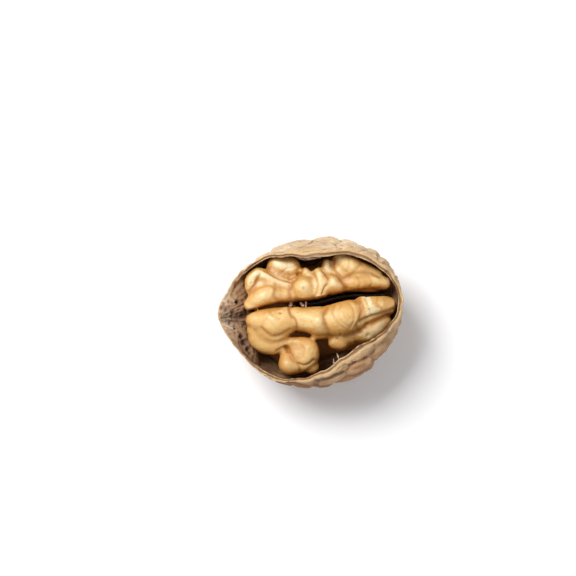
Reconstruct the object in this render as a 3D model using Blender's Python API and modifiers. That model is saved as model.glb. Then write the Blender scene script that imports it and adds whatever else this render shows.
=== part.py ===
"""An opened walnut: its woody shell, the lobed seed in it and the thin partition between the lobes.

X runs from the pointed end to the blunt end, Y away from the viewer and Z up. The nut stands on
z = 0 on a small flat spot of its round bottom, with the open side up.
"""

import math

import bmesh
import bpy
from mathutils import Vector, noise

MM = 0.001

# The shell's egg shape, measured from its girth
LENGTH = 40.0 * MM
WIDTH = 32.4 * MM
KEEL = 16.2 * MM
SHOULDER = 9.6 * MM
FLAT_DEPTH = 0.5 * MM
GIRTH = KEEL - FLAT_DEPTH
POINTED = 0.22
POINT_SHARPNESS = 6.5
BLUNT = 0.02
FLATTER_TIP = 0.35
TIP_SWAY = 2.0 * MM
TIP_SWAY_CURVE = 5
BLUNT_SWAY = 1.2 * MM
BLUNT_SWAY_CURVE = 1.2
END_FULLNESS = 0.325
BEAK = 0.7 * MM
BEAK_SHARPNESS = 14
MIDDLE_X = BEAK / 2

# The wall, the cracked rim and the spongy end behind the point
WALL = 1.35 * MM
SHOULDER_WALL = 0.9 * MM
RIM_RAGGED = 0.3 * MM
RIM_RAGGED_TURNS = 2.6
RIM_CREST = 0.3 * MM
RIM_CREST_ROUNDNESS = 0.6
RIM_GROOVE = 0.4 * MM
RIM_GROOVE_AT = 0.66
RIM_GROOVE_WIDTH = 0.14
LEDGE_X = -12.4 * MM
LEDGE_RISE = 5.0 * MM
LEDGE_DROP = 1.2 * MM
LEDGE_TOP = GIRTH + 0.8 * MM

# Height of the cracked rim over the girth in millimetres, by the angle round from the blunt end
RIM_HEIGHTS = ((0, 2.2), (15, 4.2), (30, 5.0), (45, 5.3), (60, 5.4), (75, 5.9), (90, 5.7),
               (105, 4.7), (120, 2.7), (135, 1.5), (150, 0.9), (165, 0.8), (180, 1.0),
               (195, 0.7), (210, 0.6), (225, 0.8), (240, 1.2), (255, 2.9), (270, 4.5),
               (285, 5.8), (300, 6.2), (315, 5.8), (330, 5.0), (345, 3.0), (360, 2.2))

# The net of wrinkles on the outside
VALLEY_DEPTH = 0.5 * MM
VALLEY_LENGTH = 11.0 * MM
VALLEY_WIDTH = 5.5 * MM
NET_DEPTH = 0.6 * MM
NET_LENGTH = 6.6 * MM
NET_WIDTH = 4.2 * MM
NET_LINE = 0.34
NET_WANDER = 0.45
NET_WANDER_LENGTH = 10.6 * MM
NET_WANDER_STARTS = ((0.0, 0.0, 0.0), (5.2, 1.3, 7.7), (2.6, 9.1, 4.4))
NET_AT_RIM = 0.35
RIM_FADE = 0.06
SPOT_EDGE = 0.965
SPOT_FADE = 0.08

# Four shallow furrows in the round bottom, which leave the flat spot four points to stand on
SPOT_FURROW = 0.6 * MM
SPOT_POINTS = 4
SPOT_HEART = 0.15

# Rings of the one ball that makes the shell: outside, rim and inside
SEGMENTS = 120
OUTER_RINGS = 40
RIM_RINGS = 5
INNER_RINGS = 25
SHELL_FACES = 6400

# Colours as linear red, green and blue
SHELL_COLOUR = (0.56, 0.38, 0.22)
SEED_COLOUR = (0.80, 0.55, 0.25)
SEPTUM_COLOUR = (0.16, 0.10, 0.06)

# The seed
SEED_LEVEL = 16.4 * MM
SEED_GAP = 0.42 * MM
STACK_STEPS = 3
STACK_DROP = 0.85
BEAD_STEP = 0.3
PLUMP = 1.08
LOBE_VOXEL = 0.36 * MM
SEED_VOXEL = 0.36 * MM
SEED_FACES = 6000

# The slot between the lobes and the partition in it
SLOT_Y = 2.45 * MM
SLOT_WAVE = 0.35 * MM
SLOT_WAVE_LENGTH = 14.3 * MM
SLOT_WAVE_START = -6.5 * MM
SLOT_HALF = 0.70 * MM
SLOT_SHUT = 0.45 * MM
SLOT_SHUT_X = -4.0 * MM
SLOT_OPENS = 1.6 * MM
SEPTUM_THICK = 0.7 * MM
SEPTUM_START = -2.2 * MM
SEPTUM_END = 16.6 * MM
SEPTUM_TOP = SEED_LEVEL - 1.4 * MM
SEPTUM_TORN = 0.5 * MM
SEPTUM_TEAR_LENGTH = 2.1 * MM
SEPTUM_FALL = 2.0 * MM
SEPTUM_COLUMNS = 22
SEPTUM_ROWS = 9

# Ridges of the seed: points along each crest in millimetres, as x, y, height over the seed's
# level and radius
FAR_RIDGES = (
    ((-11.9, 6.1, 0.4, 1.2), (-12.0, 7.7, 0.7, 1.4), (-11.3, 9.4, 0.9, 1.4), (-9.8, 9.6, 1.2, 1.4),
     (-7.6, 8.4, 1.0, 1.4), (-5.4, 7.3, 0.8, 1.3), (-3.7, 6.5, 0.7, 1.3)),
    ((-12.6, 3.5, 1.0, 1.5), (-10.6, 4.5, 1.4, 2.0), (-8.4, 4.8, 1.6, 2.1), (-6.1, 4.6, 1.1, 1.7),
     (-3.9, 4.6, 0.9, 1.7)),
    ((-2.3, 6.3, 1.0, 1.8), (-1.1, 5.3, 1.3, 2.6), (-0.6, 4.3, 1.3, 2.1)),
    ((-0.1, 8.9, 0.7, 0.9), (0.2, 7.6, 0.8, 1.4)),
    ((2.6, 7.7, 1.3, 1.6), (2.6, 5.6, 1.7, 2.0), (1.9, 3.9, 1.5, 1.8)),
    ((4.7, 5.4, 1.3, 1.9), (6.2, 5.0, 1.3, 1.7)),
    ((-6.0, 10.9, -0.6, 2.2), (-3.2, 10.2, -0.7, 2.2), (-4.4, 8.9, -2.0, 1.9)),
    ((4.6, 9.9, 0.5, 1.1), (4.5, 8.2, 0.4, 1.4)),
    ((7.5, 10.2, 0.6, 1.7), (9.1, 8.6, 0.8, 2.2), (10.8, 7.2, 0.8, 2.3), (13.0, 6.5, 0.5, 1.8),
     (15.0, 5.9, 0.1, 1.2)),
    ((8.2, 5.2, 0.6, 1.6), (11.2, 5.3, 0.8, 1.7), (14.0, 5.0, 0.7, 1.6), (16.2, 4.2, 0.4, 1.3)),
    ((6.8, 8.0, 0.2, 2.0), (8.2, 6.8, 0.2, 2.0)),
)
NEAR_RIDGES = (
    ((-13.0, 0.2, 0.9, 1.3), (-12.0, -0.1, 1.2, 1.9), (-10.0, -0.6, 1.2, 2.6), (-7.9, -1.2, 1.1, 3.2),
     (-5.7, -0.9, 1.5, 2.8)),
    ((-10.6, -2.2, 0.9, 1.9), (-8.8, -3.2, 0.8, 2.0), (-7.2, -3.0, 0.9, 1.9)),
    ((-12.7, -1.8, 0.2, 1.5), (-11.9, -3.6, -0.2, 1.8), (-10.4, -3.4, 0.0, 1.9)),
    ((-3.3, -0.9, 1.8, 2.4), (-1.3, -1.4, 1.9, 2.5), (1.2, -2.1, 1.9, 3.0)),
    ((3.6, -2.2, 1.7, 3.1), (5.9, -2.2, 1.8, 3.4), (8.2, -1.8, 1.8, 3.2)),
    ((11.4, -0.9, 1.6, 2.9), (13.8, -0.6, 1.4, 2.5), (16.3, -0.8, 1.0, 1.8)),
    ((-12.6, -3.6, -0.4, 1.7), (-11.3, -4.9, -0.5, 1.9), (-9.4, -5.7, -0.5, 1.8),
     (-7.5, -5.7, -0.5, 1.5), (-5.5, -5.6, -0.4, 1.2), (-3.3, -6.2, -0.3, 1.5),
     (-1.9, -7.5, -0.3, 2.2), (-2.4, -9.2, -0.6, 2.3), (-4.4, -10.0, -0.9, 2.1),
     (-6.3, -9.9, -1.2, 2.3)),
    ((-6.2, -9.4, -1.2, 2.2), (-5.4, -8.3, -1.6, 2.3), (-4.0, -8.4, -1.0, 2.4)),
    ((-1.6, -11.2, -1.7, 1.5), (-2.4, -9.8, -2.0, 1.6)),
    ((4.0, -6.7, -0.6, 1.5), (5.4, -6.9, -0.5, 1.7), (5.3, -5.2, -0.4, 2.0), (7.2, -6.0, -0.8, 1.7)),
    ((0.5, -4.3, 0.4, 1.4), (1.6, -4.2, 0.4, 1.6)),
    ((8.6, -5.6, -0.7, 1.6), (11.0, -5.6, -0.8, 2.1), (13.4, -4.7, -0.7, 1.9), (15.2, -3.6, -0.6, 1.3)),
)

# The lobes' bodies under the ridges, given in the same way
FAR_BODY = (
    ((-9.5, 6.2, -4.6, 3.6), (-4.0, 7.4, -6.4, 4.2), (2.0, 6.6, -8.0, 4.2), (8.0, 7.6, -6.2, 4.7),
     (13.0, 5.8, -5.2, 3.5)),
    ((-10.6, 7.2, 0.2, 1.6), (-8.6, 7.0, 0.3, 1.6), (-6.2, 6.3, 0.3, 1.5)),
    ((-6.5, 6.0, -9.0, 4.2), (2.0, 6.4, -10.4, 4.6), (9.5, 6.0, -9.0, 4.2)),
)
NEAR_BODY = (
    ((-10.3, -3.2, -4.8, 3.6), (-5.0, -3.2, -6.9, 3.6), (1.0, -2.4, -7.0, 3.6),
     (7.0, -2.6, -6.6, 3.7), (12.6, -3.0, -5.6, 3.6)),
    ((-6.0, -3.8, -2.8, 1.4), (-2.6, -4.4, -3.6, 1.4)),
    ((-6.5, -5.0, -9.4, 4.2), (2.0, -3.6, -11.0, 4.8), (9.5, -3.8, -9.4, 4.4)),
)
BRIDGE = (((-10.0, 2.2, -5.4, 2.6), (-7.4, 2.4, -6.2, 2.8), (-5.4, 2.4, -7.0, 2.2)),)


def clamp(value, low, high):
    return max(low, min(high, value))


def smooth_step(value):
    t = clamp(value, 0.0, 1.0)
    return t * t * (3.0 - 2.0 * t)


class Egg:
    """The nut's egg shape, drawn in by a wall: it turns points of a unit ball into places and back."""

    def __init__(self, wall=0.0, shoulder_wall=0.0):
        self.half_length = (LENGTH - BEAK) / 2 - wall
        self.half_width = WIDTH / 2 - wall
        self.keel = KEEL - wall
        self.shoulder = SHOULDER - shoulder_wall

    def fullness(self, up):
        high = clamp(up, 0.0, 0.9)
        return (1.0 - high * high) ** -END_FULLNESS

    def narrowing(self, along):
        if along < 0:
            return 1.0 - POINTED * min(-along, 1.0) ** POINT_SHARPNESS
        return 1.0 + BLUNT * math.sin(math.pi * min(along, 1.0))

    def flattening(self, along):
        return 1.0 - FLATTER_TIP * clamp(-along, 0.0, 1.0) ** POINT_SHARPNESS

    def sway(self, along):
        if along < 0:
            return TIP_SWAY * min(-along, 1.0) ** TIP_SWAY_CURVE
        return BLUNT_SWAY * min(along, 1.0) ** BLUNT_SWAY_CURVE

    def place(self, ball):
        along = ball.x * self.fullness(ball.z)
        height = self.shoulder if ball.z > 0 else self.keel
        return Vector((
            MIDDLE_X + self.half_length * along,
            self.half_width * ball.y * self.narrowing(along) + self.sway(along),
            GIRTH + height * ball.z * self.flattening(along),
        ))

    def ball(self, point):
        along = (point.x - MIDDLE_X) / self.half_length
        height = self.shoulder if point.z > GIRTH else self.keel
        up = (point.z - GIRTH) / (height * self.flattening(along))
        across = (point.y - self.sway(along)) / (self.half_width * self.narrowing(along))
        return Vector((along / self.fullness(up), across, up))

    def hold(self, point):
        """The point itself if it is inside, or else the place on the wall nearest to it."""
        ball = self.ball(point)
        if ball.length <= 1.0:
            return point
        return self.place(ball.normalized())


OUTSIDE = Egg()
INSIDE = Egg(WALL, SHOULDER_WALL)


def ledge(height):
    """How far towards the point the cavity reaches at a height, over the spongy end's broken face."""
    below = LEDGE_TOP - height
    return LEDGE_X - LEDGE_RISE * math.exp(-max(below, -LEDGE_DROP) / LEDGE_DROP)


def rim_height(angle):
    degrees = math.degrees(angle) % 360
    height = 0.0
    for (start, low), (end, high) in zip(RIM_HEIGHTS, RIM_HEIGHTS[1:]):
        if start <= degrees <= end:
            height = low + (high - low) * smooth_step((degrees - start) / (end - start))
    turn = Vector((math.cos(angle), math.sin(angle), 0.15)) * RIM_RAGGED_TURNS
    ragged = noise.noise(turn)
    return height * MM + RIM_RAGGED * ragged


def ball_point(angle, share, egg):
    """A point of the unit ball, from the bottom at share 0 up to the rim at share 1."""
    rim = math.asin(rim_height(angle) / egg.shoulder)
    up = -math.pi / 2 + share * (rim + math.pi / 2)
    return Vector((math.cos(up) * math.cos(angle), math.cos(up) * math.sin(angle), math.sin(up)))


def net_wander(point):
    """How far the net is drawn aside at a place, in shares of a cell."""
    spot = point / NET_WANDER_LENGTH
    return NET_WANDER * Vector([noise.noise(spot + Vector(start)) for start in NET_WANDER_STARTS])


def net(point):
    """How deep in a line of the net a place lies, from 0 to 1."""
    cell = Vector((point.x / NET_LENGTH, point.y / NET_WIDTH, point.z / NET_WIDTH)) + net_wander(point)
    nearest = noise.voronoi(cell)[0]
    line = clamp(1.0 - (nearest[1] - nearest[0]) / NET_LINE, 0.0, 1.0)
    return line * line * (3.0 - 2.0 * line)


def valley(point):
    """How deep in a broad valley a place lies, from 0 to 1."""
    spot = Vector((point.x / VALLEY_LENGTH, point.y / VALLEY_WIDTH, point.z / VALLEY_WIDTH))
    return clamp(0.5 + noise.noise(spot), 0.0, 1.0)


def outer_wall(angle, share):
    ball = ball_point(angle, share, OUTSIDE)
    point = OUTSIDE.place(ball)
    outward = Vector((ball.x / LENGTH, ball.y / WIDTH, ball.z / (2 * KEEL))).normalized()
    off_rim = NET_AT_RIM + (1.0 - NET_AT_RIM) * smooth_step((1.0 - share) / RIM_FADE)
    off_spot = smooth_step((ball.z + SPOT_EDGE) / SPOT_FADE)
    depth = VALLEY_DEPTH * valley(point) + NET_DEPTH * net(point) * off_rim
    beak = max(-ball.x, 0.0) ** BEAK_SHARPNESS
    point -= outward * depth * off_spot * (1.0 - beak)
    point.x -= BEAK * beak
    furrow = abs(math.sin(SPOT_POINTS / 2 * angle)) * smooth_step(ball.xy.length / SPOT_HEART)
    point.z += SPOT_FURROW * furrow * (1.0 - off_spot)
    return point


def inner_wall(angle, share):
    point = INSIDE.place(ball_point(angle, share, INSIDE))
    point.x = max(point.x, ledge(point.z))
    return point


def rim(angle, share):
    """Across the cracked rim: a pale crest outside, a groove, and a thin lip inside."""
    point = outer_wall(angle, 1.0).lerp(inner_wall(angle, 1.0), share)
    crest = RIM_CREST * math.sin(math.pi * share) ** RIM_CREST_ROUNDNESS
    groove = RIM_GROOVE * math.exp(-((share - RIM_GROOVE_AT) / RIM_GROOVE_WIDTH) ** 2)
    point.z += crest - groove
    return point


def shell_point(angle, ring):
    if ring <= OUTER_RINGS:
        return outer_wall(angle, ring / OUTER_RINGS)
    if ring <= OUTER_RINGS + RIM_RINGS:
        return rim(angle, (ring - OUTER_RINGS) / (RIM_RINGS + 1))
    rings = OUTER_RINGS + RIM_RINGS + 1 + INNER_RINGS
    return inner_wall(angle, (rings - ring) / INNER_RINGS)


def clear_scene():
    for obj in list(bpy.data.objects):
        bpy.data.objects.remove(obj, do_unlink=True)


def material(name, colour, roughness):
    made = bpy.data.materials.new(name)
    made.use_nodes = True
    shader = made.node_tree.nodes["Principled BSDF"]
    shader.inputs["Base Color"].default_value = (*colour, 1.0)
    shader.inputs["Roughness"].default_value = roughness
    shader.inputs["Metallic"].default_value = 0.0
    return made


def add_object(name, mesh, collection, finish=None):
    obj = bpy.data.objects.new(name, mesh)
    collection.objects.link(obj)
    if finish:
        mesh.materials.append(finish)
    return obj


def mesh_of(bm, name):
    mesh = bpy.data.meshes.new(name)
    bm.to_mesh(mesh)
    bm.free()
    return mesh


def with_modifiers(mesh, modifiers):
    """A new mesh: this one after a list of modifiers, each a kind and its settings."""
    helper = bpy.data.objects.new("helper", mesh)
    bpy.context.scene.collection.objects.link(helper)
    for kind, settings in modifiers:
        modifier = helper.modifiers.new(kind, kind)
        for name, value in settings.items():
            setattr(modifier, name, value)
    graph = bpy.context.evaluated_depsgraph_get()
    result = bpy.data.meshes.new_from_object(helper.evaluated_get(graph))
    bpy.data.objects.remove(helper)
    return result


def reduced(mesh, faces):
    """The mesh with about so many triangles."""
    mesh.calc_loop_triangles()
    ratio = min(1.0, faces / len(mesh.loop_triangles))
    return with_modifiers(mesh, (
        ("TRIANGULATE", {}),
        ("DECIMATE", {"ratio": ratio, "use_collapse_triangulate": True}),
    ))


def flat_spot(mesh):
    """Cuts the round bottom off at z = 0, so that the nut stands on a flat spot."""
    bm = bmesh.new()
    bm.from_mesh(mesh)
    everything = list(bm.verts) + list(bm.edges) + list(bm.faces)
    cut = bmesh.ops.bisect_plane(
        bm, geom=everything, plane_co=(0, 0, 0), plane_no=(0, 0, 1), clear_inner=True
    )
    edges = [piece for piece in cut["geom_cut"] if isinstance(piece, bmesh.types.BMEdge)]
    made = bmesh.ops.contextual_create(bm, geom=edges)
    bmesh.ops.triangulate(bm, faces=made["faces"])
    bmesh.ops.recalc_face_normals(bm, faces=bm.faces)
    return mesh_of(bm, "shell")


def build_shell(collection):
    """One ball pushed in on itself: its lower rings are the outside, the upper ones the inside."""
    rings = OUTER_RINGS + RIM_RINGS + 1 + INNER_RINGS
    bm = bmesh.new()
    bmesh.ops.create_uvsphere(bm, u_segments=SEGMENTS, v_segments=rings, radius=1.0)
    for vert in bm.verts:
        latitude = math.asin(clamp(vert.co.z, -1.0, 1.0))
        ring = round((latitude / math.pi + 0.5) * rings)
        vert.co = shell_point(math.atan2(vert.co.y, vert.co.x), ring)
    mesh = flat_spot(reduced(mesh_of(bm, "shell"), SHELL_FACES))
    mesh.shade_smooth()
    return add_object("shell", mesh, collection, material("shell", SHELL_COLOUR, 0.75))


def slot_y(x):
    """The middle of the slot between the lobes."""
    turn = 2 * math.pi * (x - SLOT_WAVE_START) / SLOT_WAVE_LENGTH
    return SLOT_Y + SLOT_WAVE * math.cos(turn)


def slot_half(x):
    """Half the slot's width, which closes towards the point, where the lobes touch."""
    return SLOT_SHUT + (SLOT_HALF - SLOT_SHUT) * smooth_step((x - SLOT_SHUT_X) / SLOT_OPENS)


def curve_point(before, start, end, after, t):
    """A point between start and end on the smooth curve through all four."""
    return 0.5 * (
        2 * start
        + (end - before) * t
        + (2 * before - 5 * start + 4 * end - after) * t * t
        + (3 * start - before - 3 * end + after) * t * t * t
    )


def beads(ridge):
    """Places and radii close together along a ridge."""
    knots = [Vector(knot) * MM for knot in ridge]
    found = [knots[0]]
    for index in range(len(knots) - 1):
        before = knots[max(index - 1, 0)]
        start = knots[index]
        end = knots[index + 1]
        after = knots[min(index + 2, len(knots) - 1)]
        steps = math.ceil((end - start).length / (BEAD_STEP * min(start.w, end.w)))
        for step in range(1, steps + 1):
            found.append(curve_point(before, start, end, after, step / steps))
    return found


def balls(places):
    """A mesh of overlapping balls, one copy of an icosphere for each place and radius."""
    bm = bmesh.new()
    bmesh.ops.create_icosphere(bm, subdivisions=3, radius=1.0)
    ball = mesh_of(bm, "ball")
    count = len(ball.vertices)
    corners = []
    faces = []
    for index, (place, radius) in enumerate(places):
        corners += [place + radius * vert.co for vert in ball.vertices]
        faces += [[index * count + corner for corner in face.vertices] for face in ball.polygons]
    mesh = bpy.data.meshes.new("balls")
    mesh.from_pydata(corners, [], faces)
    return mesh


def stacks(ridges, steps):
    """Places and radii along each ridge and below it, so that ridges stand up like walls."""
    found = []
    for ridge in ridges:
        for bead in beads(ridge):
            for step in range(steps):
                drop = Vector((0, 0, SEED_LEVEL - step * STACK_DROP * bead.w))
                found.append((bead.xyz + drop, bead.w * PLUMP))
    return found


def fused(mesh, voxel, rounds):
    """Overlapping balls as one smooth body."""
    return with_modifiers(mesh, (
        ("REMESH", {"mode": "VOXEL", "voxel_size": voxel}),
        ("SMOOTH", {"factor": 0.5, "iterations": rounds}),
    ))


def lobe(ridges, body, side):
    """One lobe, kept on its own side of the slot."""
    mesh = fused(balls(stacks(ridges, STACK_STEPS) + stacks(body, 1)), LOBE_VOXEL, 1)
    for vert in mesh.vertices:
        edge = slot_y(vert.co.x) + side * slot_half(vert.co.x)
        if side * (vert.co.y - edge) < 0:
            vert.co.y = edge
    return mesh


def seat(point):
    """Keeps a point of the seed clear of the shell's inside and of the spongy end."""
    held = Egg(WALL + SEED_GAP, SHOULDER_WALL + SEED_GAP).hold(point)
    held.x = max(held.x, ledge(held.z - SEED_GAP) + SEED_GAP)
    return held


def build_kernel(collection):
    bm = bmesh.new()
    bm.from_mesh(lobe(FAR_RIDGES, FAR_BODY, 1))
    bm.from_mesh(lobe(NEAR_RIDGES, NEAR_BODY, -1))
    bm.from_mesh(balls(stacks(BRIDGE, 1)))
    for vert in bm.verts:
        vert.co = seat(vert.co)
    mesh = reduced(fused(mesh_of(bm, "kernel"), SEED_VOXEL, 1), SEED_FACES)
    mesh.shade_smooth()
    return add_object("kernel", mesh, collection, material("kernel", SEED_COLOUR, 0.5))


def build_septum(collection):
    """A thin plate that follows the slot, from the cavity's floor up to a torn edge."""
    bm = bmesh.new()
    bmesh.ops.create_grid(bm, x_segments=SEPTUM_COLUMNS, y_segments=SEPTUM_ROWS, size=0.5)
    room = Egg(WALL + SEED_GAP, SHOULDER_WALL + SEED_GAP)
    for vert in bm.verts:
        x = SEPTUM_START + (vert.co.x + 0.5) * (SEPTUM_END - SEPTUM_START)
        along = (x - MIDDLE_X) / room.half_length
        floor = GIRTH - room.keel * math.sqrt(1.0 - along * along) + SEED_GAP
        torn = SEPTUM_TORN * noise.noise(Vector((x / SEPTUM_TEAR_LENGTH, 0.3, 0.7)))
        top = SEPTUM_TOP + torn - SEPTUM_FALL * smooth_step(along)
        vert.co = Vector((x, slot_y(x), floor + (vert.co.y + 0.5) * (top - floor)))
    mesh = mesh_of(bm, "septum")
    mesh.shade_smooth()
    obj = add_object("septum", mesh, collection, material("septum", SEPTUM_COLOUR, 0.8))
    solidify = obj.modifiers.new("thickness", "SOLIDIFY")
    solidify.thickness = SEPTUM_THICK
    solidify.offset = 0.0
    return obj


def main():
    clear_scene()
    collection = bpy.data.collections.new("walnut")
    bpy.context.scene.collection.children.link(collection)
    build_shell(collection)
    build_kernel(collection)
    build_septum(collection)


main()
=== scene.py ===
"""An opened walnut with its looks: the woody shell, the folded seed and the scraps in its gaps.

The part's own formulas come back here at a finer grain, so that each piece lies where its solid
lies. Creases, fibres, pits, torn edges and the colours come on top of them.
"""

import math

import bmesh
import bpy
import numpy as np
from mathutils import Matrix, Vector, noise
from mathutils.bvhtree import BVHTree


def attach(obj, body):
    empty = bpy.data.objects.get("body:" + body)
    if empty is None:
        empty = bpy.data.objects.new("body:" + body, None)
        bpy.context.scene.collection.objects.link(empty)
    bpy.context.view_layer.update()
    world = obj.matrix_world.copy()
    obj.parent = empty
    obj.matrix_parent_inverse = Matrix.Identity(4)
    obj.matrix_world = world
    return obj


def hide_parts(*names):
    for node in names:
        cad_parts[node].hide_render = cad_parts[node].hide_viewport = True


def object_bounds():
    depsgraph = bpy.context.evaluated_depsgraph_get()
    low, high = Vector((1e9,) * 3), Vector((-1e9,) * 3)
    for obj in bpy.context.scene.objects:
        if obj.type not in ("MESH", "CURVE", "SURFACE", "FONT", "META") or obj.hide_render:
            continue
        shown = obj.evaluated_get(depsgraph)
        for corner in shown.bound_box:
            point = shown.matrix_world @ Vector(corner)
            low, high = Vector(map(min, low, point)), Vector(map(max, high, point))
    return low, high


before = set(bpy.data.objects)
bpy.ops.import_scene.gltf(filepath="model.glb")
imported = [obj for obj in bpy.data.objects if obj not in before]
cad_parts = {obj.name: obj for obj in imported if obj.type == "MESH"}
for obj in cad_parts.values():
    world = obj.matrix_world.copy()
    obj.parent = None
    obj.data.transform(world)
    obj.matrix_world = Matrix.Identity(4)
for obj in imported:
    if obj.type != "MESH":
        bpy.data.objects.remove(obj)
CAD_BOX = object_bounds()

MM = 0.001

# The shell's egg shape, measured from its girth, as in the part
LENGTH = 40.0 * MM
WIDTH = 32.4 * MM
KEEL = 16.2 * MM
SHOULDER = 9.6 * MM
FLAT_DEPTH = 0.5 * MM
GIRTH = KEEL - FLAT_DEPTH
POINTED = 0.22
POINT_SHARPNESS = 6.5
BLUNT = 0.02
FLATTER_TIP = 0.35
TIP_SWAY = 2.0 * MM
TIP_SWAY_CURVE = 5
BLUNT_SWAY = 1.2 * MM
BLUNT_SWAY_CURVE = 1.2
END_FULLNESS = 0.325
BEAK = 0.7 * MM
BEAK_SHARPNESS = 14
MIDDLE_X = BEAK / 2

# The wall, the cracked rim and the spongy end behind the point
WALL = 1.35 * MM
SHOULDER_WALL = 0.9 * MM
RIM_RAGGED = 0.3 * MM
RIM_RAGGED_TURNS = 2.6
RIM_CREST = 0.3 * MM
RIM_CREST_ROUNDNESS = 0.6
RIM_GROOVE = 0.4 * MM
RIM_GROOVE_AT = 0.66
RIM_GROOVE_WIDTH = 0.14
RIM_WANDER = 0.16
RIM_WANDER_TURNS = 4.0
RIM_SKIN = 0.16
RIM_TEAR = 1.1 * MM
RIM_PALE = 0.045
RIM_PALENESS = 0.8
LEDGE_X = -12.4 * MM
LEDGE_RISE = 5.0 * MM
LEDGE_DROP = 1.2 * MM
LEDGE_TOP = GIRTH + 0.8 * MM

# Height of the cracked rim over the girth in millimetres, by the angle round from the blunt end
RIM_HEIGHTS = ((0, 2.2), (15, 4.2), (30, 5.0), (45, 5.3), (60, 5.4), (75, 5.9), (90, 5.7),
               (105, 4.7), (120, 2.7), (135, 1.5), (150, 0.9), (165, 0.8), (180, 1.0),
               (195, 0.7), (210, 0.6), (225, 0.8), (240, 1.2), (255, 2.9), (270, 4.5),
               (285, 5.8), (300, 6.2), (315, 5.8), (330, 5.0), (345, 3.0), (360, 2.2))

# The net of wrinkles on the outside
VALLEY_DEPTH = 0.5 * MM
VALLEY_LENGTH = 11.0 * MM
VALLEY_WIDTH = 5.5 * MM
NET_DEPTH = 0.6 * MM
NET_LENGTH = 6.6 * MM
NET_WIDTH = 4.2 * MM
NET_LINE = 0.34
NET_WANDER = 0.45
NET_WANDER_LENGTH = 10.6 * MM
NET_WANDER_STARTS = ((0.0, 0.0, 0.0), (5.2, 1.3, 7.7), (2.6, 9.1, 4.4))
NET_AT_RIM = 0.35
RIM_FADE = 0.06
SPOT_EDGE = 0.965
SPOT_FADE = 0.08
SPOT_FURROW = 0.6 * MM
SPOT_POINTS = 4
SPOT_HEART = 0.15

# Rings of the one ball that makes the shell, closer together towards the rim
SEGMENTS = 448
OUTER_RINGS = 112
RIM_RINGS = 20
INNER_RINGS = 72
RING_CROWDING = 1.35

# The finer relief of the outside
CRACK_LINE = 0.075
CRACK_DEPTH = 0.12 * MM
TWIG_SCALE = 0.47
TWIG_LINE = 0.10
TWIG_DEPTH = 0.10 * MM
FIBRE_DEPTH = 0.17 * MM
FIBRE_LENGTH = 7.0 * MM
FIBRE_WIDTH = 0.9 * MM
PIT_SPACING = 2.1 * MM
PIT_SIZE = 0.20
PIT_DEPTH = 0.22 * MM

# The spongy end's broken face: fibres that spread from the tip, crumbs, and holes, which are given
# as x, y, radius and depth in millimetres
TIP = Vector((-21.5, 1.3, 17.5)) * MM
FAN_TURNS = 9.0
FAN_LENGTH = 5.0 * MM
FAN_DEPTH = 1.2 * MM
FAN_SPREAD = 0.36
FAN_REST = 0.25
CRUMB_SIZE = 0.8 * MM
CRUMB_DEPTH = 0.5 * MM
SPONGE_X = -12.6 * MM
SPONGE_EDGE = 1.2 * MM
SPONGE_ROOM = 0.25 * MM
HOLES = ((-15.3, 4.6, 0.42, 1.6), (-15.4, -2.9, 0.55, 1.4), (-15.0, -4.2, 0.75, 1.6), (-14.3, -5.6, 0.55, 1.3),
         (-16.7, -1.0, 0.28, 0.7), (-13.9, -6.5, 0.30, 0.8), (-16.6, 2.4, 0.25, 0.6))

# Cracks that run over the outside near the rim: half width and depth in millimetres, then points
SCARS = (
    (0.16, 0.55, ((2.4, 15.1), (1.5, 14.5), (0.5, 14.2), (-0.6, 13.8))),
    (0.12, 0.30, ((7.9, 13.2), (9.3, 12.4), (10.4, 12.3))),
    (0.14, 0.35, ((9.2, -11.4), (11.0, -10.6), (12.6, -9.2))),
    (0.12, 0.30, ((-9.8, -12.3), (-8.6, -13.2), (-7.0, -13.9))),
    (0.50, 0.30, ((-0.9, -14.8), (1.5, -14.4), (4.6, -13.5))),
    (0.22, 0.25, ((6.0, -12.5), (7.4, -11.9))),
)

# The seed, with the slot between its lobes
SEED_LEVEL = 16.4 * MM
SEED_GAP = 0.42 * MM
STACK_STEPS = 3
STACK_DROP = 0.85
BEAD_STEP = 0.3
PLUMP = 1.08
LOBE_VOXEL = 0.24 * MM
SEED_VOXEL = 0.215 * MM
SLOT_Y = 2.45 * MM
SLOT_WAVE = 0.35 * MM
SLOT_WAVE_LENGTH = 14.3 * MM
SLOT_WAVE_START = -6.5 * MM
SLOT_HALF = 0.70 * MM
SLOT_SHUT = 0.24 * MM
SLOT_SHUT_X = -4.0 * MM
SLOT_OPENS = 1.6 * MM

# The partition in the slot
SEPTUM_THICK = 0.45 * MM
SEPTUM_START = -2.2 * MM
SEPTUM_END = 16.6 * MM
SEPTUM_TOP = SEED_LEVEL - 1.4 * MM
SEPTUM_TORN = 0.5 * MM
SEPTUM_TEAR_LENGTH = 2.1 * MM
SEPTUM_FALL = 2.0 * MM
SEPTUM_COLUMNS = 190
SEPTUM_ROWS = 60

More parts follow.
